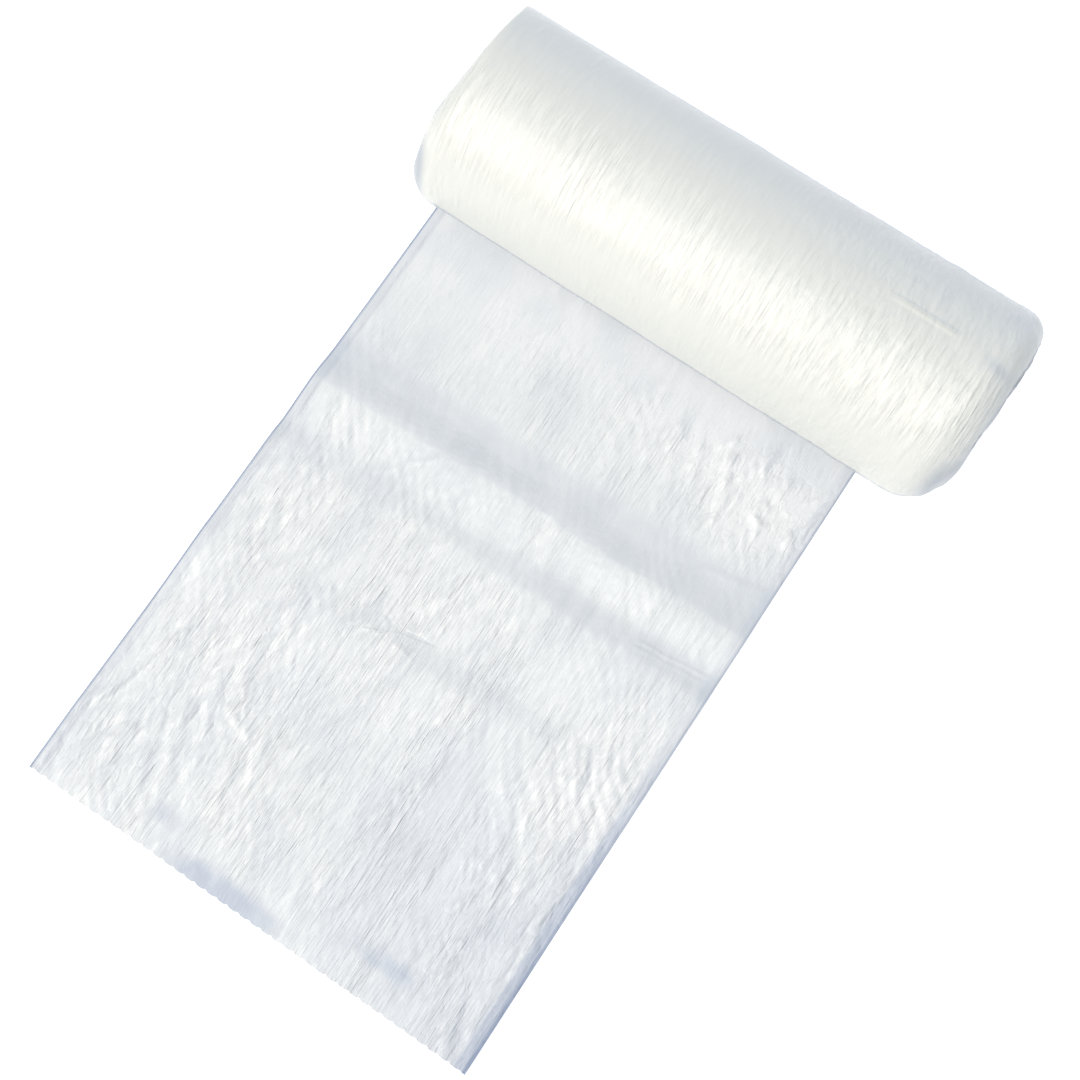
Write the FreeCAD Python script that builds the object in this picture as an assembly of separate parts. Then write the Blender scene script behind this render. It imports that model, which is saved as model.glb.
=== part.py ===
# A roll of thin milky bin bags lying on a table, with the outermost bag drawn off.
# The film is one web: flat bag, contact line under the roll, then turn on turn up to the eye.
# Lengths are millimetres. X runs along the roll, the drawn-off bag points to -Y, Z is up.
import FreeCAD, Part
import math
import os

# One flat bag
bag_width = 254.0
bag_length = 381.0
next_bag_shown = 3.0  # how much of the next bag has come off the roll with it
bag_thickness = 0.6  # two plies of film with the air that lies between them

# The wound roll
roll_diameter = 105.0
roll_wander = 38.0  # the turns wander sideways, so the roll is longer than a bag is wide
roll_shift = 18.0  # the roll's middle lies this far to the right of the drawn-off bag's
roll_sag = 0.5  # how much its own weight flattens it underneath
left_rim_radius = 13.0
right_rim_radius = 19.0
rim_bevels = 5  # each rim's rounding is drawn with this many bevels

# The turns that show as one spiral on the flat of each end, drawn far coarser than the film
turn_pitch = 4.0
turn_gap = 1.3
turn_relief = 1.6
eye_radius = 5.0
eye_depth = 4.0

# The puckers that gather the right end
pucker_count = 11
pucker_depth = 3.0
pucker_opening = 80.0  # degrees between a pucker's two walls
pucker_unevenness = 0.35
pucker_drift_phase = 2.4  # radians between one pucker's drift and the next one's
pucker_size_phase = 1.7  # radians between one pucker's size and the next one's

# The folds that the film keeps from being wound and handled. Between them the bag lies in flat
# facets, whose corners stand in rows across it. Places down the bag count from the contact line.
flat_until = 60.0  # the stretch beside the roll has no folds
wave_first = 145.0  # to the first of the crests that run across the whole bag
wave_spacing = 38.0  # from there to the second crest
wave_widening = 1.5  # each spacing as a multiple of the one before
wave_rise = 16.0  # the steeper slope of each wave, on the side that faces the roll
wave_lean = 0.03  # a crest comes this much nearer to the roll for each millimetre to the right
wave_height = 3.0
wave_fading = 0.72  # each crest's height as a share of the one before
wave_count = 3
fold_spacing = 36.0  # from one lengthwise fold to the next
fold_height = 2.4
fold_drift = 6.0  # how far a corner strays from its even place across the bag
fold_drift_phase = 2.4  # radians between one corner's drift and the next one's
fold_size_phase = 1.7  # radians between one corner's height and the next one's

# The torn perforation along the free edge
tooth_pitch = 6.35
tooth_depth = 1.2

# What follows from those sizes
roll_radius = roll_diameter / 2
roll_length = bag_width + roll_wander
axis_height = roll_radius - roll_sag
contact_half = math.sqrt(roll_radius**2 - axis_height**2)
rim_slope = math.sqrt(0.5)  # the sine and the cosine of a rim's chord, which slopes by 45 degrees
tail_length = bag_length + next_bag_shown
left_end = roll_shift - roll_length / 2
right_end = roll_shift + roll_length / 2

# The frame's origin is the middle of the underside of the whole part's box
origin_x = (min(left_end, -bag_width / 2) + max(right_end, bag_width / 2)) / 2
origin_y = (roll_radius - tail_length) / 2


def vector(x, y, z):
    """A point given from the contact line's middle, moved into the part's frame."""
    return FreeCAD.Vector(x - origin_x, y - origin_y, z)


def line(start, end):
    return Part.LineSegment(start, end).toShape()


def arc(centre, radius, angles, place):
    """An arc through three angles in degrees; place puts a flat point into the part's frame."""
    points = []
    for angle in angles:
        across = centre[0] + radius * math.cos(math.radians(angle))
        upward = centre[1] + radius * math.sin(math.radians(angle))
        points.append(place(across, upward))
    return Part.Arc(*points).toShape()


def filled(edges):
    return Part.Face(Part.Wire(Part.__sortEdges__(edges)))


def rim_points(end, rim_radius, inward, place):
    """The corners of one rounded rim, from the flat of the end out to the roll's surface."""
    points = []
    for number in range(rim_bevels + 1):
        angle = math.pi / 2 * number / rim_bevels
        along = end + inward * rim_radius * (1 - math.cos(angle))
        radius = roll_radius - rim_radius * (1 - math.sin(angle))
        points.append(place(along, radius))
    return points


def turned_body():
    """All the turns together, as one turned body with rounded rims."""

    def place(along, radius):
        return vector(along, 0, axis_height + radius)

    left_rim = rim_points(left_end, left_rim_radius, 1, place)
    right_rim = rim_points(right_end, right_rim_radius, -1, place)
    outline = [place(left_end, 0)] + left_rim + right_rim[::-1] + [place(right_end, 0)]
    section = Part.Face(Part.makePolygon(outline + outline[:1]))
    return section.revolve(place(left_end, 0), FreeCAD.Vector(1, 0, 0), 360)


def half_turn(number, wider, along):
    """One half circle of the spiral, on a plane across the roll."""

    def place(across, upward):
        return vector(along, across, axis_height + upward)

    odd = number % 2
    centre = (turn_pitch / 4 if odd else -turn_pitch / 4, 0)
    radius = eye_radius + wider + number * turn_pitch / 2
    angles = (180, 270, 360) if odd else (0, 90, 180)
    return arc(centre, radius, angles, place)


def spiral_gap(end, rim_radius, inward):
    """The gap between the turns on the flat of one end, a spiral of half circles."""
    room = roll_radius - rim_radius - eye_radius - turn_gap - turn_pitch / 4
    half_turns = int(room / (turn_pitch / 2))
    inner = [half_turn(number, 0, end) for number in range(half_turns)]
    outer = [half_turn(number, turn_gap, end) for number in range(half_turns)]
    first = line(inner[0].Vertexes[0].Point, outer[0].Vertexes[0].Point)
    last = line(inner[-1].Vertexes[-1].Point, outer[-1].Vertexes[-1].Point)
    strip = filled(inner + outer + [first, last])
    return strip.extrude(FreeCAD.Vector(inward * turn_relief, 0, 0))


def eye(end, inward):
    """The pressed-in middle of the winding at one end."""
    radius = eye_radius - turn_pitch / 4
    axis = FreeCAD.Vector(inward, 0, 0)
    return Part.makeCylinder(radius, eye_depth, vector(end, 0, axis_height), axis)


def pucker(angle, size):
    """A V groove across the right rim, with its floor parallel to the chord of the rounding."""
    chord_depth = right_rim_radius * (1 - rim_slope)
    floor = right_rim_radius - (chord_depth - pucker_depth * size) / rim_slope
    reach = 2 * right_rim_radius
    half_mouth = reach * math.tan(math.radians(pucker_opening / 2))
    corners = [(0, 0), (-half_mouth, reach), (half_mouth, reach)]
    points = []
    for across, outward in corners:
        along = right_end - reach + rim_slope * outward
        radius = roll_radius - floor + reach + rim_slope * outward
        points.append(vector(along, across, axis_height + radius))
    groove = Part.Face(Part.makePolygon(points + points[:1]))
    length = 2 * reach * rim_slope
    groove = groove.extrude(FreeCAD.Vector(length, 0, -length))
    groove.rotate(vector(0, 0, axis_height), FreeCAD.Vector(1, 0, 0), angle)
    return groove


def puckers():
    """The puckers round the right end, unevenly spaced and unevenly deep."""
    grooves = []
    for number in range(pucker_count):
        drift = pucker_unevenness * math.sin(pucker_drift_phase * number)
        size = 1 + pucker_unevenness * math.cos(pucker_size_phase * number)
        grooves.append(pucker(360 / pucker_count * (number + drift), size))
    return grooves


def below_the_table():
    size = 2 * roll_length
    corner = vector(roll_shift - size / 2, -size / 2, -size)
    return Part.makeBox(size, size, size, corner)


def wound_roll():
    """The roll, with its spiral ends, eyes, puckers and the small flat that it rests on."""
    cuts = [below_the_table()] + puckers()
    for end, rim_radius, inward in (
        (left_end, left_rim_radius, 1),
        (right_end, right_rim_radius, -1),
    ):
        cuts.append(spiral_gap(end, rim_radius, inward))
        cuts.append(eye(end, inward))
    return turned_body().cut(cuts)


def rows():
    """Each row of corners: how far down the bag it lies, and how high a wave lifts it."""
    between = (flat_until + wave_first - wave_rise) / 2
    found = [(-contact_half, 0), (flat_until, 0), (between, 0)]
    crest = wave_first
    for number in range(wave_count):
        found.append((crest - wave_rise, 0))
        found.append((crest, wave_height * wave_fading**number))
        crest += wave_spacing * wave_widening**number
    last = found[-1][0]
    count = max(1, round((tail_length - last) / fold_spacing))
    step = (tail_length - last) / count
    return found + [(last + step * (number + 1), 0) for number in range(count)]


def folded_corners():
    """The corners of the facets, row by row. Those on the bag's edges stray only along them."""
    columns = round(bag_width / fold_spacing)
    found = []
    for row, (place, lift) in enumerate(rows()):
        inside_row = flat_until < place < tail_length
        growth = max(0, place - flat_until) / (tail_length - flat_until)
        line_of_corners = []
        for column in range(columns + 1):
            across = bag_width * (column / columns - 0.5)
            down = place
            drift = math.sin(fold_drift_phase * (column + 1) * (row + 1))
            if 0 < column < columns:
                across += fold_drift * drift
            if inside_row:
                down += fold_drift / 2 * drift - wave_lean * across
            size = 1 + math.sin(fold_size_phase * (column + 1) * (row + 1))
            height = lift + fold_height / 2 * growth * size
            line_of_corners.append(vector(across, -down, height))
        found.append(line_of_corners)
    return found


def cells(columns, corners):
    """Two triangles for each cell between the corners, with their faces upward."""
    triangles = []
    for near, far in zip(corners, corners[1:]):
        for column in range(columns):
            triangles.append((near[column], far[column], far[column + 1]))
            triangles.append((near[column], far[column + 1], near[column + 1]))
    return triangles


def edge_walls(corners, thickness):
    """The upright strips round the bag's four edges."""
    left = [row[0] for row in corners]
    right = [row[-1] for row in corners]
    walls = []
    for edge in (corners[0], corners[-1][::-1], left[::-1], right):
        for start, end in zip(edge, edge[1:]):
            walls.append((start, end, end + thickness, start + thickness))
    return walls


def perforation():
    """The notches between the teeth along the free edge."""
    count = int(bag_width / tooth_pitch)
    first = -(count - 1) / 2 * tooth_pitch
    notches = []
    for number in range(count):
        middle = first + number * tooth_pitch
        mouth = tooth_pitch / 4
        corners = [
            vector(middle - mouth, -tail_length, 0),
            vector(middle + mouth, -tail_length, 0),
            vector(middle, -tail_length + tooth_depth, 0),
        ]
        triangle = Part.Face(Part.makePolygon(corners + corners[:1]))
        notches.append(triangle.extrude(FreeCAD.Vector(0, 0, fold_height + bag_thickness)))
    return Part.makeCompound(notches)


def drawn_off_bag():
    """The outermost bag, from its torn edge to just past the contact line."""
    corners = folded_corners()
    thickness = FreeCAD.Vector(0, 0, bag_thickness)
    under = cells(len(corners[0]) - 1, corners)
    over = [[point + thickness for point in triangle] for triangle in under]
    outlines = over + [triangle[::-1] for triangle in under] + edge_walls(corners, thickness)
    faces = []
    for outline in outlines:
        points = list(outline)
        faces.append(Part.Face(Part.makePolygon(points + points[:1])))
    folded = Part.makeSolid(Part.makeShell(faces))
    return folded.cut(perforation())


def bag_roll():
    return wound_roll().fuse(drawn_off_bag()).removeSplitter()


os.makedirs("parts", exist_ok=True)
roll = bag_roll()
roll.Solids[0].exportStep("parts/bag_roll.step")
box = roll.optimalBoundingBox()
print("solids", len(roll.Solids), "valid", roll.isValid())
print("size", round(box.XLength, 2), round(box.YLength, 2), round(box.ZLength, 2))
print("middle", round(box.Center.x, 3), round(box.Center.y, 3), "lowest", round(box.ZMin, 4))
print("volume in cm3", round(roll.Volume / 1000, 1))
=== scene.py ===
# %% [markdown]
# # A roll of thin bin bags with one bag drawn off
#
# The object is one long web of milky film. Most of it is wound on itself without a core, and the
# outermost bag lies flat on the table in front of the roll. The engineering model holds both as one
# plain solid. Here each gets the surface that the film really has: fine streaks from the winding,
# crumples, creases, a spiral of turns at each end, and a torn perforation.

# %% Load the engineering model
import bpy
import math
import numpy as np
from mathutils import Matrix, Vector


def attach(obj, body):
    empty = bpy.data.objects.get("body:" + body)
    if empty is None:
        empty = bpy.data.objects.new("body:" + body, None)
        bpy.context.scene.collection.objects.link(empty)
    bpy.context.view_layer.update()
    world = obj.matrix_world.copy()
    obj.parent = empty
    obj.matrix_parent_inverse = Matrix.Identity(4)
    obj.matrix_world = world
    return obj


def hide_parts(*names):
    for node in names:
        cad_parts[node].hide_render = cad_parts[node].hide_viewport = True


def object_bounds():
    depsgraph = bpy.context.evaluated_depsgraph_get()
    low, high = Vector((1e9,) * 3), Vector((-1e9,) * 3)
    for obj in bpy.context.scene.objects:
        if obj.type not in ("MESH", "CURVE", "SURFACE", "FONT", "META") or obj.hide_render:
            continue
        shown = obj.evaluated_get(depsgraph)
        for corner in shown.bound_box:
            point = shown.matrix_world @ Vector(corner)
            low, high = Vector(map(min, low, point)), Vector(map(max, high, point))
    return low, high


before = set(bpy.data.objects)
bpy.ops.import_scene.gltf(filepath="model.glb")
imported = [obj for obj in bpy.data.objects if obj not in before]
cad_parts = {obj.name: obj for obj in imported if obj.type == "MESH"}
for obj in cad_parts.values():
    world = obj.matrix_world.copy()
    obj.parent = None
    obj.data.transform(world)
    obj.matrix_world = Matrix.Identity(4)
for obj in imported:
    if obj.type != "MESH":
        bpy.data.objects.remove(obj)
cad_low, cad_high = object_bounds()
MM = 0.001
print("nodes", sorted(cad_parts), "box", tuple(cad_low), tuple(cad_high))

# %% [markdown]
# ## Sizes
#
# The frame's box gives the main sizes, because the roll fills its width and its height, and the
# drawn-off bag reaches its front. The bag's own width is the real one, and its middle lies to the left
# of the roll's, because the turns have wandered sideways.

# %% Sizes that follow from the frame
bag_width = 254 * MM
roll_shift = 18 * MM
roll_sag = 0.5 * MM
roll_left, roll_right = cad_low.x, cad_high.x
roll_length = roll_right - roll_left
roll_radius = (cad_high.z + roll_sag) / 2
axis_y = cad_high.y - roll_radius
axis_z = roll_radius - roll_sag
contact_half = math.sqrt(roll_radius**2 - axis_z**2)
left_rim, right_rim = 13 * MM, 19 * MM
bag_middle = (roll_left + roll_right) / 2 - roll_shift
free_edge = cad_low.y
tail = axis_y - free_edge
print("roll radius", round(roll_radius, 4), "tail", round(tail, 4))
print("axis at", round(axis_y, 4), round(axis_z, 4))

# %% [markdown]
# ## Camera
#
# The photograph looks almost straight down, a little from the front and the right, with the roll at
# the upper right. The lens and the place were found by fitting the roll's two long outlines and the
# bag's four corners, which leaves about one pixel between them and the photograph.

# %% Camera
camera_elevation, camera_azimuth, camera_roll = (math.radians(a) for a in (78.518, 35.882, -2.105))
camera_distance = 777.2 * MM
look_at = Vector((-2.67 * MM, 10.99 * MM, 0))
camera_lens, camera_sensor = 52.31, 36
back = Vector((
    math.sin(camera_azimuth) * math.cos(camera_elevation),
    -math.cos(camera_azimuth) * math.cos(camera_elevation),
    math.sin(camera_elevation),
))
level = (-back).cross(Vector((0, 0, 1))).normalized()
upright = level.cross(-back)
camera_x = math.cos(camera_roll) * level + math.sin(camera_roll) * upright
camera_y = -math.sin(camera_roll) * level + math.cos(camera_roll) * upright
bpy.ops.object.camera_add(location=look_at + back * camera_distance)
camera = bpy.context.active_object
camera.rotation_euler = Matrix((camera_x, camera_y, back)).transposed().to_euler()
camera.data.lens = camera_lens
camera.data.sensor_width = camera_sensor
bpy.context.scene.camera = camera
bpy.context.scene.view_settings.view_transform = "Standard"
print("camera at", tuple(round(c, 4) for c in camera.location))

# %% [markdown]
# ## Random fields
#
# Film wrinkles are chance shapes, so their heights come from smooth random fields. Each field is drawn
# from a seeded generator on a grid of cells, so every run gives the same wrinkles. Cells stretched
# along the way the film was wound give streaks, and a field folded at zero gives sharp creases.

# %% Random fields
def smooth(share):
    share = np.clip(share, 0, 1)
    return share * share * (3 - 2 * share)


def between(value, start, end):
    """0 before start, 1 after end, and smooth in between."""
    return smooth((value - start) / (end - start))


def between_degrees(turn, start, end):
    """The same for an angle in radians, with its start and end in degrees."""
    return between(turn, math.radians(start), math.radians(end))


def swell(u, v, seed, turns=0):
    """A smooth field from about -1 to 1, one swell a unit; turns closes it after so many units of v."""
    draw = np.random.default_rng(seed)
    cell_u, cell_v = np.floor(u).astype(int), np.floor(v).astype(int)
    part_u, part_v = u - cell_u, v - cell_v
    cell_u = cell_u - cell_u.min()
    if turns:
        wide_v = turns
    else:
        cell_v = cell_v - cell_v.min()
        wide_v = cell_v.max() + 2
    way = draw.uniform(0, 2 * math.pi, (cell_u.max() + 2, wide_v))
    slope_u, slope_v = np.cos(way), np.sin(way)

    def corner(step_u, step_v):
        at = (cell_u + step_u, (cell_v + step_v) % wide_v)
        return slope_u[at] * (part_u - step_u) + slope_v[at] * (part_v - step_v)

    fade_u = part_u**3 * (part_u * (6 * part_u - 15) + 10)
    fade_v = part_v**3 * (part_v * (6 * part_v - 15) + 10)
    near = corner(0, 0) * (1 - fade_u) + corner(1, 0) * fade_u
    far = corner(0, 1) * (1 - fade_u) + corner(1, 1) * fade_u
    return (near * (1 - fade_v) + far * fade_v) * math.sqrt(2)


def crease(u, v, seed, turns=0):
    """A random field folded at zero: rounded hills between sharp valleys, level on average."""
    folded = np.abs(swell(u, v, seed, turns))
    return folded - folded.mean()


print("three swells", np.round(swell(np.array([0.3, 1.4, 2.7]), np.array([0.2, 0.6, 1.9]), 1), 2))

# %% [markdown]
# ## Reading and writing a mesh
#
# The modelling operators make each piece's faces. The fine relief is then worked out for all points at
# once, so two helpers carry the points to number arrays and back.

# %% Mesh helpers
hair = 0.01 * MM


def read_points(piece, what="co"):
    values = np.empty(len(piece.data.vertices) * 3)
    piece.data.vertices.foreach_get(what, values)
    return values.reshape(-1, 3)


def write_points(piece, points):
    piece.data.vertices.foreach_set("co", points.ravel())
    piece.data.update()


def keep_share(piece, name, share):
    """Stores a share from 0 to 1 at each point, for the piece's material to read."""
    layer = piece.data.attributes.new(name, "FLOAT", "POINT")
    layer.data.foreach_set("value", np.clip(share, 0, 1))


def only(piece):
    """Makes one piece the selected and active one."""
    bpy.ops.object.select_all(action="DESELECT")
    piece.select_set(True)
    bpy.context.view_layer.objects.active = piece


def select_edges(piece, wanted):
    """Goes to edit mode with the edges selected whose two ends pass the test."""
    bpy.ops.object.mode_set(mode="EDIT")
    bpy.ops.mesh.select_mode(type="EDGE")
    bpy.ops.mesh.select_all(action="DESELECT")
    bpy.ops.object.mode_set(mode="OBJECT")
    points = piece.data.vertices
    for edge in piece.data.edges:
        edge.select = wanted(*(points[i].co for i in edge.vertices))
    bpy.ops.object.mode_set(mode="EDIT")


print("mesh helpers ready")

# %% [markdown]
# ## The wound roll
#
# The real roll is hundreds of turns of film wound on nothing. It starts here as a cylinder at its size
# and place. Its two rims are bevelled round, its barrel is cut along its length so finely that streaks
# can be raised on it, and its flat ends are inset ring by ring for the spiral of turns.

# %% The roll's plain body
points_around = 216
rim_segments = 10
bpy.ops.object.select_all(action="DESELECT")
bpy.ops.mesh.primitive_cylinder_add(
    vertices=points_around,
    radius=roll_radius,
    depth=roll_length,
    end_fill_type="NGON",
    location=((roll_left + roll_right) / 2, axis_y, axis_z),
    rotation=(0, math.pi / 2, 0),
)
wound_roll = bpy.context.active_object
wound_roll.name = "wound_roll"
bpy.ops.object.transform_apply(location=True, rotation=True, scale=True)
for end, rim in ((roll_left, left_rim), (roll_right, right_rim)):
    select_edges(wound_roll, lambda a, b: abs(a.x - end) < hair and abs(b.x - end) < hair)
    bpy.ops.mesh.bevel(offset=rim, segments=rim_segments, profile=0.5, affect="EDGES")
    bpy.ops.object.mode_set(mode="OBJECT")
print("bevelled roll", len(wound_roll.data.polygons), "faces")

# %% The barrel's rings
barrel_from, barrel_to = roll_left + left_rim - hair, roll_right - right_rim + hair


def along_barrel(a, b):
    return abs(a.x - b.x) > hair and min(a.x, b.x) > barrel_from and max(a.x, b.x) < barrel_to


ring_cuts = (17, 19)  # one after the other, so they multiply
for cuts in ring_cuts:
    select_edges(wound_roll, along_barrel)
    bpy.ops.mesh.subdivide(number_cuts=cuts)
    bpy.ops.object.mode_set(mode="OBJECT")
print("roll with rings", len(wound_roll.data.polygons), "faces")

# %% The ends' rings
ring_step = 1.1 * MM
for end, rim in ((roll_left, left_rim), (roll_right, right_rim)):
    bpy.ops.object.mode_set(mode="EDIT")
    bpy.ops.mesh.select_mode(type="FACE")
    bpy.ops.mesh.select_all(action="DESELECT")
    bpy.ops.object.mode_set(mode="OBJECT")
    flats = [face for face in wound_roll.data.polygons if abs(face.center.x - end) < hair]
    max(flats, key=lambda face: len(face.vertices)).select = True
    bpy.ops.object.mode_set(mode="EDIT")
    for ring in range(int((roll_radius - rim) / ring_step) - 1):
        bpy.ops.mesh.inset(thickness=ring_step)
    bpy.ops.mesh.merge(type="CENTER")
    bpy.ops.object.mode_set(mode="OBJECT")
print("roll", len(wound_roll.data.polygons), "faces")

# %% [markdown]
# The rims aren't the same all round. The film sits square at the back and has slumped round toward the
# front, more so at the right end, and the left end leans out toward the front. So each rim's points
# are spread anew for a radius that grows from back to front, and the rings beside them follow.

# %% Let the rims slump toward the front
def outward(points):
    """How far each point lies from the roll's axis, and the share by which it faces the front."""
    distance = np.hypot(points[:, 1] - axis_y, points[:, 2] - axis_z)
    share = smooth(0.5 - 0.5 * (points[:, 1] - axis_y) / np.maximum(distance, hair))
    return distance, share


body = read_points(wound_roll)
distance, facing_front = outward(body)
rim_reach = 4
for end, rim, inward, at_back, at_front, lean in (
    (roll_left, left_rim, 1, 1 * MM, 15 * MM, 4 * MM),
    (roll_right, right_rim, -1, 11 * MM, 23 * MM, 0),
):
    change = at_back + (at_front - at_back) * facing_front - rim
    deep = (body[:, 0] - end) * inward
    inset = roll_radius - distance
    follows = between(deep, rim_reach * rim, rim)
    new_deep = deep + change * follows * np.clip(deep / rim, 0, 1) + lean * (1 - 2 * facing_front) * follows
    toward_eye = np.clip(distance / (roll_radius - rim), 0, 1)
    new_inset = inset + change * np.clip(inset / rim, 0, 1) * toward_eye
    near_end = deep < rim_reach * rim
    factor = np.where(near_end, (roll_radius - new_inset) / np.maximum(distance, hair), 1)
    body[:, 0] = np.where(near_end, end + inward * new_deep, body[:, 0])
    body[:, 1] = axis_y + (body[:, 1] - axis_y) * factor
    body[:, 2] = axis_z + (body[:, 2] - axis_z) * factor
print("rims slumped", round(body[:, 0].min() / MM, 1), "to", round(body[:, 0].max() / MM, 1))

# %% [markdown]
# The left end isn't flat either. In the photograph its top is pushed in, while its back and its lower
# front stand out a little. So the points there shift along the roll, by an amount that is largest at
# the rim and fades toward the eye and along the barrel.

# %% Push the left end's top in
sunk_top, sunk_reach = 4.8 * MM, math.radians(46)
sunk_eye = 0.3  # the share of it that the eye follows
sunk_rims = 4.5  # how far along the barrel it fades, in rims
stands_out, stands_out_in_front = 2.5 * MM, 0.6
turned_forward = np.arctan2(axis_y - body[:, 1], body[:, 2] - axis_z)
near_left = between(body[:, 0] - roll_left, sunk_rims * left_rim, left_rim)
near_rim = between(outward(body)[0], 0.1 * roll_radius, 0.8 * roll_radius)
sunk = np.exp(-((turned_forward / sunk_reach) ** 2))
body[:, 0] += sunk_top * near_left * (near_rim * sunk + (1 - near_rim) * sunk_eye)
out_behind = between_degrees(turned_forward, -40, -65)
out_in_front = stands_out_in_front * between_degrees(turned_forward, 60, 90)
body[:, 0] -= stands_out * near_left * near_rim * (out_behind + out_in_front)
write_points(wound_roll, body)
print("left end from", round(body[:, 0].min() / MM, 1), "mm")

# %% [markdown]
# ## The roll's surface
#
# Winding pulls the film tight round the roll, so its wrinkles are hoops, 2 to 4 mm apart and broken
# every few centimetres. The right half was wound looser, so there they give way to crumples, and the
# right end was gathered into folds and puckers. All of it is raised along the body's own normals.

# %% Where each point of the roll lies
body = read_points(wound_roll)
normals = read_points(wound_roll, "normal")
along = (body[:, 0] - bag_middle) / MM  # from the bag's middle toward the right
out_y, out_z = (body[:, 1] - axis_y) / MM, (body[:, 2] - axis_z) / MM
radius = np.hypot(out_y, out_z)
angle = np.arctan2(-out_y, out_z)  # from the top, growing toward the front
arc = angle * roll_radius / MM
round_once = 2 * math.pi * roll_radius / MM
from_left, from_right = (body[:, 0] - roll_left) / MM, (roll_right - body[:, 0]) / MM
on_barrel = between(radius, 30, 48) * between(from_left, -4, 9) * between(from_right, 0, 9)


def hoop(spacing, reach, seed, field=crease, drift=0.0):
    """Creases or swells round the roll: spacing along it, reach round it, both in mm."""
    turns = max(2, round(round_once / reach))
    return field((along + drift) / spacing, (arc / round_once + 0.5) * turns, seed, turns)


def patch(middle, reach):
    """A soft patch on the roll: its middle along the roll and from the top, in mm and degrees."""
    off_angle = (np.degrees(angle) - middle[1]) / reach[1]
    return np.exp(-(((along - middle[0]) / reach[0]) ** 2) - off_angle**2)


print("roll points", len(body))

# %% [markdown]
# Below, the factor before each hoop is its height, and its first two values are the spacing along the
# roll and the reach round it, all in mm. The third value is the seed of its chance shapes.

# %% Hoops, crumples and the gathered end
sway = 2.5 * hoop(26, 34, 12, swell)
patchy = smooth(0.5 + 0.9 * hoop(34, 46, 11, swell))
toward_right = between(along, 20, 90)
streaks = 0.34 * hoop(3.0, 28, 21, drift=sway) + 0.26 * hoop(1.8, 16, 22, drift=sway)
crumples = 0.60 * hoop(11, 20, 31, drift=sway) + 0.34 * hoop(5, 9, 32) + 0.16 * hoop(2.6, 5, 33)
unevenness = 0.40 * hoop(60, 90, 41, swell) + 0.25 * hoop(24, 40, 42, swell)
raised = streaks * (0.30 + 0.70 * patchy) * (1 - 0.45 * toward_right)
raised += crumples * (0.25 + 0.75 * toward_right) + unevenness
gathered = between(from_right, 36, 6)
raised += gathered * (0.25 * hoop(5, 30, 51, swell) + 0.30 * hoop(26, 9, 52))
raised *= on_barrel
crease_height, crease_angle, crease_width = 1.1, -6.67, 0.6
crease_start, crease_end = (92, 100), (133, 124)  # where along the roll it fades in and out
crease_shape = np.exp(-((np.radians(crease_angle) * roll_radius / MM - arc) / crease_width) ** 2)
raised += crease_height * crease_shape * between(along, *crease_start) * between(along, *crease_end)
print("barrel raised by", round(raised.min(), 2), "to", round(raised.max(), 2), "mm")

# %% The puckers that gather the right end
pucker_count, pucker_depth, pucker_unevenness = 11, 3.0, 0.35
pucker_drift_phase, pucker_size_phase = 2.4, 1.7
pucker_width = math.radians(4.0)
pucker_softness = 0.12  # the film bridges a pucker, so its floor is shallower than the solid's groove
around_rim = between(from_right, 24, 5) * between(radius, 20, 36)
for number in range(pucker_count):
    drift = pucker_unevenness * math.sin(pucker_drift_phase * number)
    size = 1 + pucker_unevenness * math.cos(pucker_size_phase * number)
    middle = 2 * math.pi / pucker_count * (number + drift)
    off = (angle - middle + math.pi) % (2 * math.pi) - math.pi
    depth = pucker_softness * pucker_depth * size
    raised -= around_rim * depth * np.exp(-((off / pucker_width) ** 2) / 2)
print("deepest pucker", round(pucker_softness * pucker_depth * (1 + pucker_unevenness), 2), "mm")

# %% The spiral of turns on both ends
turn_pitch, turn_relief, turn_share = 4.0, 1.2, 1.15
eye_radius, eye_depth = 5.0, 4.0
dish_depth, end_unevenness = 1.8, 0.7
on_ends = 0
low_front = 0.15 + 0.85 * between_degrees(angle, 45, 75)  # the rims' low front turns away from the light
for facing, hand in ((-normals[:, 0], 1), (normals[:, 0], -1)):
    on_end = between(facing, 0.75, 0.98)
    phase = radius / turn_pitch + hand * angle / (2 * math.pi)
    groove = np.abs((phase % 1) - 0.5) * 2
    turns_raised = -turn_relief * (1 - smooth(groove * turn_share)) * between(radius, 4, 7)
    turns_raised *= between(radius, 49, 42)
    uneven = hoop(3, 40, 61, swell) * between(radius, 6, 16) * between(radius, 49, 40)
    dished = -dish_depth * between(radius, 34, 8) + end_unevenness * uneven
    pressed = -eye_depth * between(radius, eye_radius, eye_radius / 2)
    raised += on_end * (turns_raised + dished + pressed)
    on_ends = on_ends + between(facing, 0.86, 0.95)
    # The rims' low front takes the edges' darker colour as painted shade.
    on_ends = on_ends + low_front * (0.25 * between(facing, 0.2, 0.6) + 0.75 * between(facing, 0.5, 0.72))
body += normals * (raised * MM)[:, None]
body[:, 2] = np.maximum(body[:, 2], 0)
write_points(wound_roll, body)
print("ends raised by", round(raised.min(), 2), "to", round(raised.max(), 2), "mm")
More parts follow.
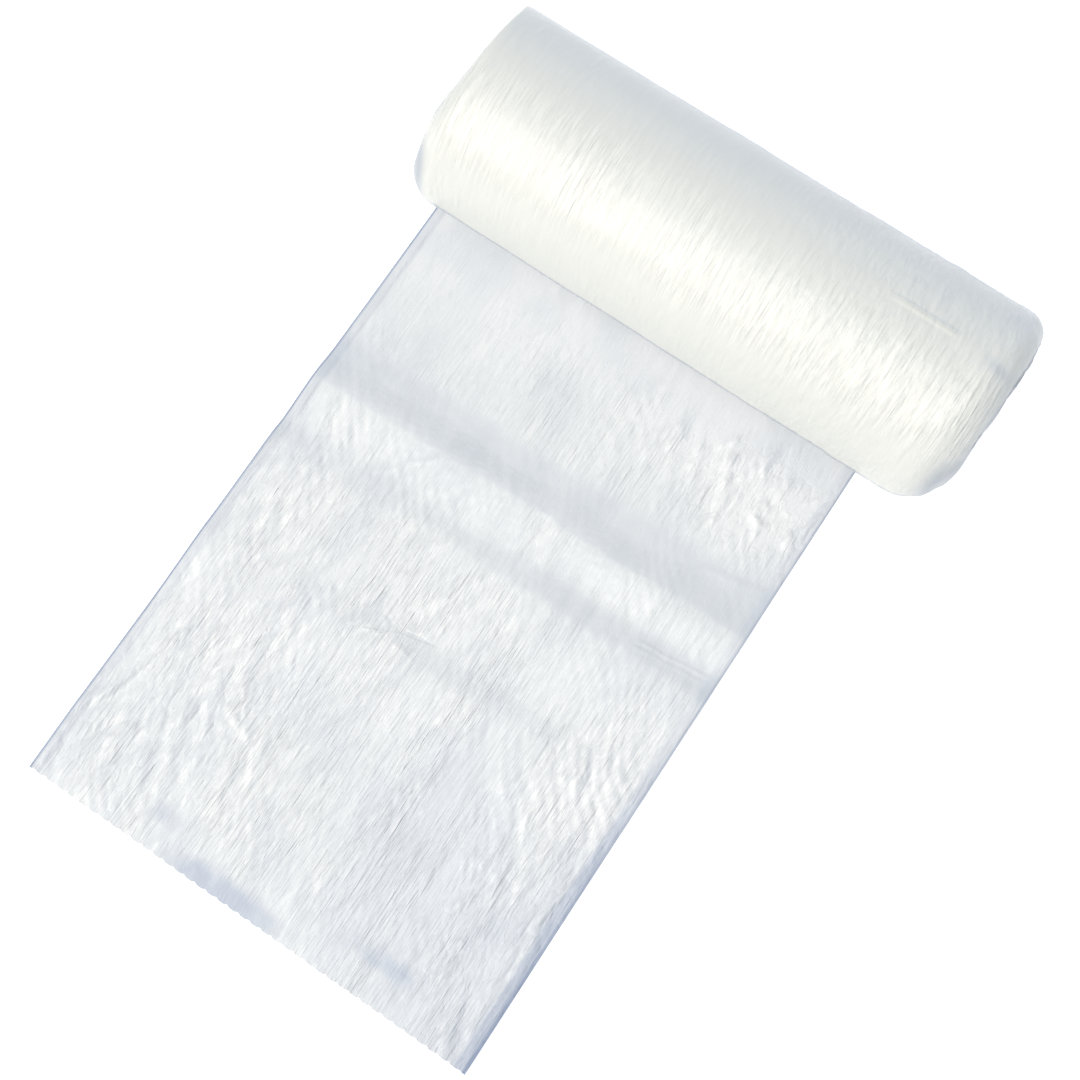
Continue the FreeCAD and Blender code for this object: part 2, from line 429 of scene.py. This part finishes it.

# %% [markdown]
# The film's look changes over the roll, so each point keeps four shares for the material: where cut or
# folded edges show, which also carries painted shade on the rims' low front, the left rim and the
# underside; painted shade on the back, at the right end and where the bag leaves the roll; where fine
# lines show, whitened most in the band where the highlight falls, a painted highlight; and where it is
# crumpled. The places come from the photograph: a darker back and a shaded underside, both painted
# shade, and a lined band.

# %% The shares that the roll's material reads
# Painted shade in the edges' colour: a dark line on the left rim's low front and one along the underside.
left_rim_painted_shade = 0.9 * between(from_left, 9, 3) * between_degrees(angle, 50, 80)
underside_painted_shade = 0.8 * between_degrees(angle, 96, 101)
keep_share(wound_roll, "cut_edges_and_painted_shade", on_ends + underside_painted_shade + left_rim_painted_shade)
# On the roll this share is all painted shade in the cling colour: a line where the bag leaves the roll, the
# back, and two patches at the right end.
contact_painted_shade = between_degrees(angle, 98, 103)  # where the drawn-off bag leaves the roll
back_painted_shade = 0.9 * between_degrees(angle, -48, -70)
shaded = 0.55 * patch((153, -3), (8, 4)) + 0.3 * patch((150, -42), (8, 14)) + contact_painted_shade + back_painted_shade
keep_share(wound_roll, "clinging_and_painted_shade", shaded)
# The band where the highlight falls gets the most whitened lines, a painted highlight over the real lines.
highlight_band = between_degrees(angle, -6, 8) * between_degrees(angle, 62, 44)
keep_share(wound_roll, "hairy_and_painted_highlight", 0.12 + 0.75 * highlight_band * (0.5 + 0.5 * patchy))
keep_share(wound_roll, "crumpled", on_barrel * (0.15 + 0.45 * toward_right))
only(wound_roll)
bpy.ops.object.shade_smooth()
wound_roll.data.calc_loop_triangles()
print("roll", len(wound_roll.data.loop_triangles), "triangles")

# %% [markdown]
# ## The drawn-off bag's main folds
#
# One bag lies flat, still joined to the roll along the line that it rests on. It starts as a coarse
# grid with the same corners as the solid's facets: three waves run across it, each steeper on the side
# that faces the roll, and lengthwise folds grow toward the free edge.

# %% The rows of the bag's corners
flat_until, wave_first, wave_spacing, wave_widening = 60.0, 145.0, 38.0, 1.5
wave_rise, wave_lean, wave_height, wave_fading, wave_count = 16.0, 0.03, 3.0, 0.72, 3
fold_spacing, fold_height, fold_drift = 36.0, 2.4, 6.0
fold_drift_phase, fold_size_phase = 2.4, 1.7
tail_mm, width_mm = tail / MM, bag_width / MM
rows = [(-contact_half / MM, 0), (flat_until, 0), ((flat_until + wave_first - wave_rise) / 2, 0)]
crest = wave_first
for number in range(wave_count):
    rows += [(crest - wave_rise, 0), (crest, wave_height * wave_fading**number)]
    crest += wave_spacing * wave_widening**number
last = rows[-1][0]
count = round((tail_mm - last) / fold_spacing)
rows += [(last + (tail_mm - last) / count * (number + 1), 0) for number in range(count)]
columns = round(width_mm / fold_spacing)
print("rows at", [round(place) for place, lift in rows], "mm from the contact line,", columns, "columns")

# %% The coarse grid
bpy.ops.object.select_all(action="DESELECT")
bpy.ops.mesh.primitive_grid_add(x_subdivisions=columns, y_subdivisions=len(rows) - 1, size=1)
drawn_off_bag = bpy.context.active_object
drawn_off_bag.name = "drawn_off_bag"
for point in drawn_off_bag.data.vertices:
    column = round((point.co.x + 0.5) * columns)
    row = round((0.5 - point.co.y) * (len(rows) - 1))
    place, lift = rows[row]
    growth = max(0, place - flat_until) / (tail_mm - flat_until)
    drift = math.sin(fold_drift_phase * (column + 1) * (row + 1))
    across = width_mm * (column / columns - 0.5) + (fold_drift * drift if 0 < column < columns else 0)
    inner = flat_until < place < tail_mm - hair
    down = place + (fold_drift / 2 * drift - wave_lean * across if inner else 0)
    size = 1 + math.sin(fold_size_phase * (column + 1) * (row + 1))
    height = lift + fold_height / 2 * growth * size
    point.co = (bag_middle + across * MM, axis_y - down * MM, height * MM)
print("coarse bag", len(drawn_off_bag.data.polygons), "facets")

# %% [markdown]
# The wrinkles need a point about every millimetre, and closer across the bag than along it, because
# the finest ones run lengthwise. So the edges across the bag are cut first and those along it after.
# A few rounds of smoothing take the edge off the folds, as film this soft does.

# %% Cut the facets fine
cuts_across, cuts_along = 47, 17
smoothing_rounds = 90
shortest_fold = 8 * MM
only(drawn_off_bag)
select_edges(drawn_off_bag, lambda a, b: abs(a.x - b.x) > abs(a.y - b.y))
bpy.ops.mesh.subdivide(number_cuts=cuts_across)
bpy.ops.object.mode_set(mode="OBJECT")
select_edges(drawn_off_bag, lambda a, b: (a - b).length > shortest_fold)
bpy.ops.mesh.subdivide(number_cuts=cuts_along)
bpy.ops.mesh.select_all(action="SELECT")
bpy.ops.mesh.vertices_smooth(factor=0.5, repeat=smoothing_rounds, xaxis=False, yaxis=False, zaxis=True)
bpy.ops.object.mode_set(mode="OBJECT")
print("bag", len(drawn_off_bag.data.polygons), "faces")

# %% [markdown]
# ## The bag's wrinkles
#
# Under a magnifier the bag shows four kinds. Hairlines run along it where the film was drawn, fine
# crinkles cross them, larger crumples break it into facets, and some long creases and soft valleys
# have places of their own. Beside the waves the two plies cling together and lie smooth, and there
# the colour paints shade.

# %% Where each point of the bag lies
film = read_points(drawn_off_bag)
across = (film[:, 0] - bag_middle) / MM
down = (axis_y - film[:, 1]) / MM
edge_distance = width_mm / 2 - np.abs(across)
from_free_edge = tail_mm - down


def turned(spread_u, spread_v, degrees, seed, field, drift=0.0):
    """A random field with its cells spread and turned by an angle from the winding direction."""
    c, s = math.cos(math.radians(degrees)), math.sin(math.radians(degrees))
    return field((c * across + s * down + drift) / spread_u, (-s * across + c * down) / spread_v, seed)


def spot(middle, reach):
    """A soft spot on the bag, 1 in its middle: both values are across and down in mm."""
    return np.exp(-(((across - middle[0]) / reach[0]) ** 2) - ((down - middle[1]) / reach[1]) ** 2)


def ridge(start, end, height, width, bend=1.2):
    """A crease from start to end, each given as across and down in mm; it wanders by bend."""
    way = np.subtract(end, start)
    length = math.hypot(*way)
    way = way / length
    share = (across - start[0]) * way[0] + (down - start[1]) * way[1]
    beside = (across - start[0]) * way[1] - (down - start[1]) * way[0]
    beside = beside + bend * swell(share / 14, share * 0, int(10 * (abs(start[0]) + start[1])))
    ends = between(share, 0, 0.15 * length) * between(share, length, 0.85 * length)
    return height * ends * np.exp(-np.abs(beside / width) ** 1.4)


def pleats(spacing, degrees, seed, bend=1.0):
    """Straight folds side by side: flat facets between sharp lines, level on average."""
    c, s = math.cos(math.radians(degrees)), math.sin(math.radians(degrees))
    place = (c * across + s * down) / spacing
    place = place + bend * swell(across / (spacing * 5), down / (spacing * 9), seed)
    return np.abs((place + np.random.default_rng(seed).uniform()) % 1 - 0.5) * 2 - 0.5


print("bag points", len(film))

# %% [markdown]
# Where the film lies smooth, violet, crumpled or hairy follows the photograph. Each spot below gives its
# middle and its reach, both as across and down in mm, and the factor before it is its strength.

# %% Where the film lies smooth and where it is crumpled
sway = 3.0 * swell(across / 40, down / 55, 4)
crest_line = wave_lean * across + sway / 2
band_above_first = between(down + crest_line, 112, 124) * between(down + crest_line, 146, 143)
band_above_second = between(down + crest_line, 164, 170) * between(down + crest_line, 184, 178)
band_above_second *= 0.35 + 0.65 * between(across, -20, 20)
smooth_bands = np.maximum(band_above_first, 0.8 * band_above_second)
by_roll = between(down, 75, 45) * (1 - 0.7 * spot((95, 66), (42, 26)))
violet = 0.9 * spot((-14, 381), (38, 10)) + 0.5 * spot((-60, 366), (12, 7))
violet += 0.55 * spot((66, 364), (26, 7))
violet = 0.95 * between(violet + 0.12 * swell(across / 9, down / 5, 10), 0.12, 0.85)
crumpled = 1.9 * spot((98, 78), (40, 26)) + 1.1 * spot((-88, 320), (42, 60))
crumpled += 1.0 * spot((102, 285), (34, 85))
crumpled += 0.45 * spot((-80, 190), (50, 40)) + 0.35 * smooth(0.5 + 1.1 * swell(across / 40, down / 55, 8))
most_crumpled = 1.25
crumpled = np.clip(crumpled, 0, most_crumpled) * (1 - 0.85 * smooth_bands)
crumpled *= (1 - 0.7 * by_roll) * (1 - 0.85 * violet)
# The lines' share grows in the lower half, where the soft box's highlight falls, so its whitened lines
# there are partly a painted highlight.
hairy_and_painted_highlight = 0.52 + 0.36 * between(down, 150, 215) + 0.4 * spot((5, 95), (42, 40))
hairy_and_painted_highlight += 0.35 * spot((-20, 290), (60, 90))
hairy_and_painted_highlight = hairy_and_painted_highlight * (0.60 + 0.40 * smooth(0.5 + 1.2 * swell(across / 22, down / 60, 6)))
hairy_and_painted_highlight = np.clip(hairy_and_painted_highlight, 0, 1) * (1 - 0.75 * smooth_bands) * (1 - 0.6 * by_roll) * (1 - 0.8 * violet)
print("crumpled on average", round(crumpled.mean(), 2), "hairy_and_painted_highlight", round(hairy_and_painted_highlight.mean(), 2))

# %% [markdown]
# In the relief, the factor before each turned field is its height in mm. The field's own values are its
# spread across and down in mm, its turn from the winding direction in degrees, and its seed.

# %% The fine relief
hairlines = 0.13 * turned(3.4, 44, 2, 71, crease, sway) + 0.12 * turned(1.9, 28, -1, 72, crease, sway)
crinkles = 0.20 * turned(14, 3.4, -14, 73, crease) + 0.13 * turned(8, 2.6, 9, 74, crease)
crinkly = 0.25 + 1.1 * spot((-60, 104), (44, 24)) + 0.6 * spot((40, 150), (60, 18))
crinkly += 0.5 * spot((-40, 150), (60, 16))
facets = 0.34 * turned(9, 32, 10, 81, crease) - 0.16 * turned(4.2, 20, -9, 82, crease)
facets += 0.10 * turned(3.2, 9, -34, 83, crease)
widest_pleat, pleat_ratio, pleat_slope = 19, 1.25, 0.095
pleat_turns = (14, -18, 31, -8, 24, -36, 6)
place_seed, pleat_seed = 90, 100
for number, degrees in enumerate(pleat_turns):
    spacing = widest_pleat / pleat_ratio**number
    here = smooth(0.5 + 1.2 * swell(across / 30, down / 46, place_seed + number))
    facets += here * pleat_slope * spacing * pleats(spacing, degrees, pleat_seed + number)
fine = hairy_and_painted_highlight * hairlines + np.clip(crinkly, 0, 1.4) * (1 - 0.7 * violet) * crinkles
fine += (0.22 + 0.78 * crumpled) * facets
fine += 0.45 * turned(46, 60, 0, 61, swell) + 0.30 * crumpled * turned(22, 40, 16, 62, swell)
print("fine relief", round(fine.min(), 2), "to", round(fine.max(), 2), "mm")

# %% The creases that have a place of their own
# At the left, two long ones beside the edge, two that meet in a point and a short valley
fine += ridge((-121, 348), (-98, 268), 1.6, 1.1) + ridge((-114, 381), (-106, 346), 0.8, 0.9)
fine += ridge((-68, 306), (-45, 316), 1.0, 0.9) + ridge((-67, 292), (-46, 316), 1.1, 0.9)
fine -= ridge((-90, 283), (-83, 317), 0.8, 1.4)
# Two near the roll at the right, and one in the left part's middle
fine += ridge((86, 82), (107, 91), 0.8, 0.8) + ridge((105, 85), (128, 86), 0.6, 0.8)
fine += ridge((-74, 174), (-48, 147), 0.4, 1.4)
# Double ones that run in from the right edge, beside the first two waves
fine += ridge((88, 122), (126, 115), 0.6, 0.8, 0.8) + ridge((80, 171), (124, 166), 0.30, 0.8, 0.8)
fine += ridge((84, 125), (126, 119), 0.20, 0.8, 0.8) + ridge((78, 174), (124, 170), 0.20, 0.8, 0.8)
# The rest of the fan near the roll, and two lower down at the right
fine += ridge((84, 85), (126, 90), 0.7, 1.0) + ridge((92, 76), (118, 85), 0.6, 0.9)
fine += ridge((54, 76), (66, 61), 0.5, 1.4) + ridge((64, 61), (96, 53), 0.5, 1.4)
fine += ridge((93, 53), (128, 50), 0.4, 1.2)
fine += ridge((73, 299), (109, 307), 0.5, 0.9) + ridge((86, 246), (118, 240), 0.4, 1.0)
print("with ridges", round(fine.min(), 2), "to", round(fine.max(), 2), "mm")

# %% The long valleys, the level edges and the folded-in sides
valley_depth = 1.3
fine -= ridge((66, 262), (69, 344), valley_depth, 3.6) + ridge((93, 290), (116, 381), valley_depth, 2.6)
fine -= ridge((-50, 284), (-37, 350), 0.7, 2.2) + ridge((-32, 236), (-39, 288), 0.5, 1.8)
fine *= (0.15 + 0.85 * between(edge_distance, -1, 8)) * (0.25 + 0.75 * between(from_free_edge, -2, 7))
fold_in, fold_lip = 5.0, 0.45  # the bag's side is folded in, and the fold shows this far from the edge
fine += fold_lip * between(edge_distance, fold_in + 1.2, fold_in - 0.6) * between(edge_distance, 0, 1.6)
fine *= between(down, 0, 12)
print("with creases", round(fine.min(), 2), "to", round(fine.max(), 2), "mm")

# %% The torn perforation along the free edge
tooth_pitch, tooth_depth, tooth_reach = 6.35, 0.8, 6.0
tooth_count = int(width_mm / tooth_pitch)
from_tooth = np.abs((across / tooth_pitch + tooth_count / 2) % 1 - 0.5) * tooth_pitch
notch = np.clip(1 - from_tooth / (tooth_pitch / 4), 0, 1)
film[:, 1] += tooth_depth * MM * notch * between(from_free_edge, tooth_reach, 0)
print("teeth", tooth_count)

# %% The shares that the bag's material reads
side_band = between(edge_distance, 7.5, 4.5)
on_right = across > 0
# Painted shade: the bands above the waves, whose slopes face away from the light, and the lower right.
clinging_and_painted_shade = 0.22 * smooth_bands + violet + 0.30 * between(across, 10, 110) * between(down, 230, 340)
clinging_and_painted_shade += 0.25 * spot((40, 300), (34, 40))
clinging_and_painted_shade += side_band * np.where(on_right, 0.25 + 0.75 * between(down, 150, 330), 0.25)
clinging_and_painted_shade += 0.9 * between(edge_distance, 1.3, 0.4)
clinging_and_painted_shade += 0.18 * smooth(0.35 + 1.1 * swell(across / 26, down / 34, 9))
keep_share(drawn_off_bag, "clinging_and_painted_shade", clinging_and_painted_shade)
# Painted shade in the edges' colour along the right edge, darker toward the lower right.
right_shade = between(edge_distance, 3.0, 0.5) * between(down, 200, tail_mm)
keep_share(drawn_off_bag, "cut_edges_and_painted_shade", np.where(on_right, right_shade, between(edge_distance, 1.2, 0.3)))
keep_share(drawn_off_bag, "hairy_and_painted_highlight", hairy_and_painted_highlight)
keep_share(drawn_off_bag, "crumpled", 0.15 + 0.75 * crumpled + 0.25 * hairy_and_painted_highlight)
# Painted light: beside the roll the film is painted lighter against the roll's shadow; crumples above the
# lower part are whitened.
whitened_and_painted_light = 0.85 * between(down, 100, 40) + 0.40 * crumpled * (1 - between(down, 250, 330))
keep_share(drawn_off_bag, "whitened_and_painted_light", whitened_and_painted_light)
print("clinging on average", round(clinging_and_painted_shade.mean(), 2))

# %% Lay the bag on the table and give it its thickness
film_thickness = 0.5 * MM
film[:, 2] = film_thickness + np.maximum(film[:, 2] + fine * MM, 0)
write_points(drawn_off_bag, film)
only(drawn_off_bag)
thickness = drawn_off_bag.modifiers.new("film", "SOLIDIFY")
thickness.thickness = film_thickness
thickness.offset = -1
top_points = len(drawn_off_bag.data.vertices)
bpy.ops.object.modifier_apply(modifier=thickness.name)
film = read_points(drawn_off_bag)
film[:, 2] = np.maximum(film[:, 2], 0)
write_points(drawn_off_bag, film)
print("bag", len(drawn_off_bag.data.polygons), "faces, lowest", film[:, 2].min())

# %% [markdown]
# The underside lies on the table, where nobody sees its wrinkles. Decimating it there, in edit mode,
# almost halves the mesh and leaves the top as it is.

# %% Thin the underside
underside_share, sharp_from = 0.08, math.radians(60)
bpy.ops.object.mode_set(mode="EDIT")
bpy.ops.mesh.select_mode(type="FACE")
bpy.ops.mesh.select_all(action="DESELECT")
bpy.ops.object.mode_set(mode="OBJECT")
for face in drawn_off_bag.data.polygons:
    face.select = min(face.vertices) >= top_points
bpy.ops.object.mode_set(mode="EDIT")
bpy.ops.mesh.decimate(ratio=underside_share)
bpy.ops.object.mode_set(mode="OBJECT")
bpy.ops.object.shade_smooth_by_angle(angle=sharp_from)
drawn_off_bag.data.calc_loop_triangles()
print("bag", len(drawn_off_bag.data.loop_triangles), "triangles")

# %% [markdown]
# ## Colour and node helpers
#
# Colours are picked as they look on screen and turned to the linear values that a shader works in. One
# small function adds a node, sets it and links what feeds it, so each material reads as a list.

# %% Colour and node helpers
def linear(code):
    """An sRGB hex colour as the linear values that a shader reads."""
    values = [int(code[i:i + 2], 16) / 255 for i in (1, 3, 5)]
    return [v / 12.92 if v <= 0.04045 else ((v + 0.055) / 1.055) ** 2.4 for v in values] + [1]


def add(tree, kind, feeds=None, **settings):
    """One node with its settings; feeds gives each input a value or the output that drives it."""
    node = tree.nodes.new(kind)
    for name, value in settings.items():
        setattr(node, name, value)
    for name, value in (feeds or {}).items():
        if isinstance(value, bpy.types.NodeSocket):
            tree.links.new(value, node.inputs[name])
        else:
            node.inputs[name].default_value = value
    return node


def new_material(name):
    material = bpy.data.materials.new(name)
    material.use_nodes = True
    material.node_tree.nodes.clear()
    return material, material.node_tree


# A colour Mix node keeps its two colours at inputs 6 and 7 and its result at output 2
SHARE, FIRST, SECOND, MIXED = 0, 6, 7, 2
print("white is", linear("#FFFFFF"))

# %% [markdown]
# ## The film
#
# High-density polyethylene is blown as a bubble and drawn upward, which leaves it milky, satin and
# finely lined along the way it was drawn. Where two plies cling together less light scatters back, so
# the film looks darker and bluer there; the same darker colour also paints shade on the roll and the
# bag. Drawing it whitens it along its lines, and crumpling breaks it into small crisp facets; the
# whitening also paints highlights, in the roll's bright band and on the bag's lower half, and paints
# light on the bag beside the roll. The edges' colour paints shade on the roll's rims and underside as
# well. Both pieces read these shares from their own points. What is too fine for the mesh is bump: the
# lines, about a millimetre apart, which run round the roll, the facets, which are the cells of a
# Voronoi pattern stretched along the lines, and a faint grain.

# %% Blown polyethylene film
grain_size, grain_height = 1.1 * MM, 0.05 * MM
facet_width, facet_length, facet_height, facet_waver = 3.5 * MM, 13 * MM, 0.9 * MM, 8 * MM
hair_height, line_height = 0.20 * MM, 0.75 * MM
cloud_size = 30 * MM  # broad patches of a slightly duller skin


def blown_film(name, milky, cloudy, clinging_and_painted_shade, edges, line_spacing, line_length, skin):
    """Milky film with lines along its length: a satin body under a clearer skin."""
    material, tree = new_material(name)
    place = add(tree, "ShaderNodeTexCoord").outputs["Object"]
    line_scale = (1 / line_spacing, 1 / line_length, 1 / line_length)
    stretched = add(tree, "ShaderNodeMapping", {"Vector": place, "Scale": line_scale}).outputs["Vector"]
    lines = add(tree, "ShaderNodeTexNoise", {
        "Vector": stretched, "Scale": 1.0, "Detail": 3.0, "Roughness": 0.55,
    })
    hairlines = add(tree, "ShaderNodeTexNoise", {
        "Vector": stretched, "Scale": 0.55, "Detail": 2.0, "Roughness": 0.6, "Offset": 1.0, "Gain": 2.0,
    }, noise_type="RIDGED_MULTIFRACTAL")
    hairy_and_painted_highlight = add(tree, "ShaderNodeAttribute", attribute_name="hairy_and_painted_highlight").outputs["Fac"]
    white = add(tree, "ShaderNodeMapRange", {
        "Value": lines.outputs["Fac"], "From Min": 0.40, "From Max": 0.62, "To Min": 0.0, "To Max": 1.0,
    })
    whitened_and_painted_light = add(tree, "ShaderNodeAttribute", attribute_name="whitened_and_painted_light").outputs["Fac"]
    # The lines' and whitening shares paint highlight and light as well as real whitening.
    white = add(tree, "ShaderNodeMath", {
        0: white.outputs["Result"], 1: hairy_and_painted_highlight, 2: whitened_and_painted_light,
    }, operation="MULTIPLY_ADD", use_clamp=True)
    grain = add(tree, "ShaderNodeTexNoise", {"Vector": place, "Scale": 1 / grain_size, "Detail": 2.0})
    cloud = add(tree, "ShaderNodeTexNoise", {"Vector": place, "Scale": 1 / cloud_size, "Detail": 4.0})
    clings_and_painted_shade = add(tree, "ShaderNodeAttribute", attribute_name="clinging_and_painted_shade").outputs["Fac"]
    cut_and_painted_shade = add(tree, "ShaderNodeAttribute", attribute_name="cut_edges_and_painted_shade").outputs["Fac"]
    colour = add(tree, "ShaderNodeMix", {
        SHARE: white.outputs[0], FIRST: linear(cloudy), SECOND: linear(milky),
    }, data_type="RGBA").outputs[MIXED]
    # The cling colour also paints shade.
    colour = add(tree, "ShaderNodeMix", {
        SHARE: clings_and_painted_shade, FIRST: colour, SECOND: linear(clinging_and_painted_shade),
    }, data_type="RGBA").outputs[MIXED]
    # The edges' colour also paints shade on the rims, the underside and the bag's right edge.
    colour = add(tree, "ShaderNodeMix", {
        SHARE: cut_and_painted_shade, FIRST: colour, SECOND: linear(edges),
    }, data_type="RGBA").outputs[MIXED]
    rough = add(tree, "ShaderNodeMapRange", {
        "Value": cloud.outputs["Fac"], "From Min": 0.3, "From Max": 0.7, "To Min": 0.38, "To Max": 0.48,
    })
    soft = add(tree, "ShaderNodeBump", {
        "Height": grain.outputs["Fac"], "Strength": 0.5, "Distance": grain_height,
    })
    crumpled = add(tree, "ShaderNodeAttribute", attribute_name="crumpled").outputs["Fac"]
    waver = add(tree, "ShaderNodeTexNoise", {"Vector": place, "Scale": 1 / facet_waver, "Detail": 2.0})
    cell_scale = (1 / facet_width, 1 / facet_length, 1 / facet_length)
    cells = add(tree, "ShaderNodeMapping", {"Vector": place, "Scale": cell_scale}).outputs["Vector"]
    cells = add(tree, "ShaderNodeVectorMath", {
        0: waver.outputs["Color"], 1: (0.9, 0.9, 0.9), 2: cells,
    }, operation="MULTIPLY_ADD").outputs["Vector"]
    facets = add(tree, "ShaderNodeTexVoronoi", {"Vector": cells, "Scale": 1.0}, feature="DISTANCE_TO_EDGE")
    folded = add(tree, "ShaderNodeBump", {
        "Height": facets.outputs["Distance"], "Strength": crumpled, "Distance": facet_height,
        "Normal": soft.outputs["Normal"],
    })
    haired = add(tree, "ShaderNodeBump", {
        "Height": hairlines.outputs["Fac"], "Strength": hairy_and_painted_highlight, "Distance": hair_height,
        "Normal": folded.outputs["Normal"],
    })
    lined = add(tree, "ShaderNodeBump", {
        "Height": lines.outputs["Fac"], "Strength": hairy_and_painted_highlight, "Distance": line_height,
        "Normal": haired.outputs["Normal"],
    })
    surface = add(tree, "ShaderNodeBsdfPrincipled", {
        "Base Color": colour,
        "Roughness": rough.outputs["Result"],
        "IOR": 1.54,
        "Coat Weight": skin,
        "Coat Roughness": 0.20,
        "Coat IOR": 1.54,
        "Normal": lined.outputs["Normal"],
    })
    add(tree, "ShaderNodeOutputMaterial", {"Surface": surface.outputs["BSDF"]})
    return material


# Many turns on each other look creamier, and two plies on a white table bluer
wound_film = blown_film(
    "blown_film_wound", milky="#F6F7F3", cloudy="#E6E8E4", clinging_and_painted_shade="#C6CED8", edges="#AEB7C2",
    line_spacing=1.3 * MM, line_length=18 * MM, skin=0.42,
)
flat_film = blown_film(
    "blown_film_flat", milky="#FBFCFD", cloudy="#EAEEF1", clinging_and_painted_shade="#C2CAD9", edges="#93A2BE",
    line_spacing=1.0 * MM, line_length=22 * MM, skin=0.5,
)
for piece, film_material in ((wound_roll, wound_film), (drawn_off_bag, flat_film)):
    piece.data.materials.clear()
    piece.data.materials.append(film_material)
print("materials", [m.name for m in bpy.data.materials])

# %% [markdown]
# ## Floor
#
# The photograph's table is pure white. The floor is a pale matt sheet, and what the camera, gloss and
# see-through rays meet of it also glows, which lifts it to white and keeps the shadow soft.

# %% Floor
def seen_directly(tree):
    """1 for the rays that show a background: the camera's, the gloss's and those through glass."""
    path = add(tree, "ShaderNodeLightPath")
    seen = path.outputs["Is Camera Ray"]
    for name in ("Is Glossy Ray", "Is Transmission Ray"):
        seen = add(tree, "ShaderNodeMath", {0: seen, 1: path.outputs[name]}, operation="MAXIMUM").outputs[0]
    return seen


floor_size, floor_glow = 8, 0.62
bpy.ops.object.select_all(action="DESELECT")
bpy.ops.mesh.primitive_plane_add(size=floor_size)
floor = bpy.context.active_object
floor.name = "floor"
material, tree = new_material("white_table")
glow = add(tree, "ShaderNodeMath", {0: seen_directly(tree), 1: floor_glow}, operation="MULTIPLY")
surface = add(tree, "ShaderNodeBsdfPrincipled", {
    "Base Color": linear("#F2F2F2"),
    "Roughness": 0.8,
    "Emission Color": (1, 1, 1, 1),
    "Emission Strength": glow.outputs[0],
})
add(tree, "ShaderNodeOutputMaterial", {"Surface": surface.outputs["BSDF"]})
floor.data.materials.append(material)
print("floor", floor.dimensions[:])

# %% [markdown]
# ## World and lamps
#
# The world gives a cool even fill, and white where it is seen. The main light is a broad warm window,
# four metres away at the front left. It gives the roll its cream side and its wide bright band, and it
# grazes the bag's creases. A small soft box overhead is mirrored in the lower half of the bag, and a
# weak cool lamp behind lifts the roll's back.

# %% World
world = bpy.context.scene.world or bpy.data.worlds.new("studio")
bpy.context.scene.world = world
world.use_nodes = True
world.node_tree.nodes.clear()
tree = world.node_tree
fill_strength = 0.47
ambient = add(tree, "ShaderNodeBackground", {"Color": linear("#E6EEF8"), "Strength": fill_strength})
white = add(tree, "ShaderNodeBackground", {"Color": (1, 1, 1, 1), "Strength": 1.0})
mixed = add(tree, "ShaderNodeMixShader", {
    0: seen_directly(tree), 1: ambient.outputs[0], 2: white.outputs[0],
})
add(tree, "ShaderNodeOutputWorld", {"Surface": mixed.outputs[0]})
print("world", world.name)

# %% Lamps
lit_middle = Vector((0, 0.05, 0))


def soft_box(name, tilt, turn, distance, size, power, colour):
    """A flat lamp: tilt from straight up, turn from the front toward the right, both in degrees."""
    tilt, turn = math.radians(tilt), math.radians(turn)
    way = Vector((math.sin(tilt) * math.sin(turn), -math.sin(tilt) * math.cos(turn), math.cos(tilt)))
    bpy.ops.object.light_add(type="AREA", location=lit_middle + way * distance)
    lamp = bpy.context.active_object
    lamp.name = name
    lamp.rotation_euler = way.to_track_quat("Z", "Y").to_euler()
    lamp.data.shape = "RECTANGLE"
    lamp.data.size, lamp.data.size_y = size
    lamp.data.energy = power
    lamp.data.color = linear(colour)[:3]
    print(name, "at", tuple(round(c, 2) for c in lamp.location))


soft_box("overhead_box", tilt=9.5, turn=-4, distance=1.23, size=(0.40, 0.42), power=0.95, colour="#FFFFFF")
soft_box("front_window", tilt=42, turn=-25, distance=4.0, size=(3.4, 3.2), power=124, colour="#FFF8EC")
soft_box("back_fill", tilt=74, turn=178, distance=1.4, size=(1.8, 1.2), power=3.8, colour="#CFE0FF")

# %% [markdown]
# ## Ride and replace
#
# Both pieces ride on the part's only body and stand for its one solid.

# %% Ride and replace
for piece in (wound_roll, drawn_off_bag):
    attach(piece, "root")
    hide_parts("bag_roll")
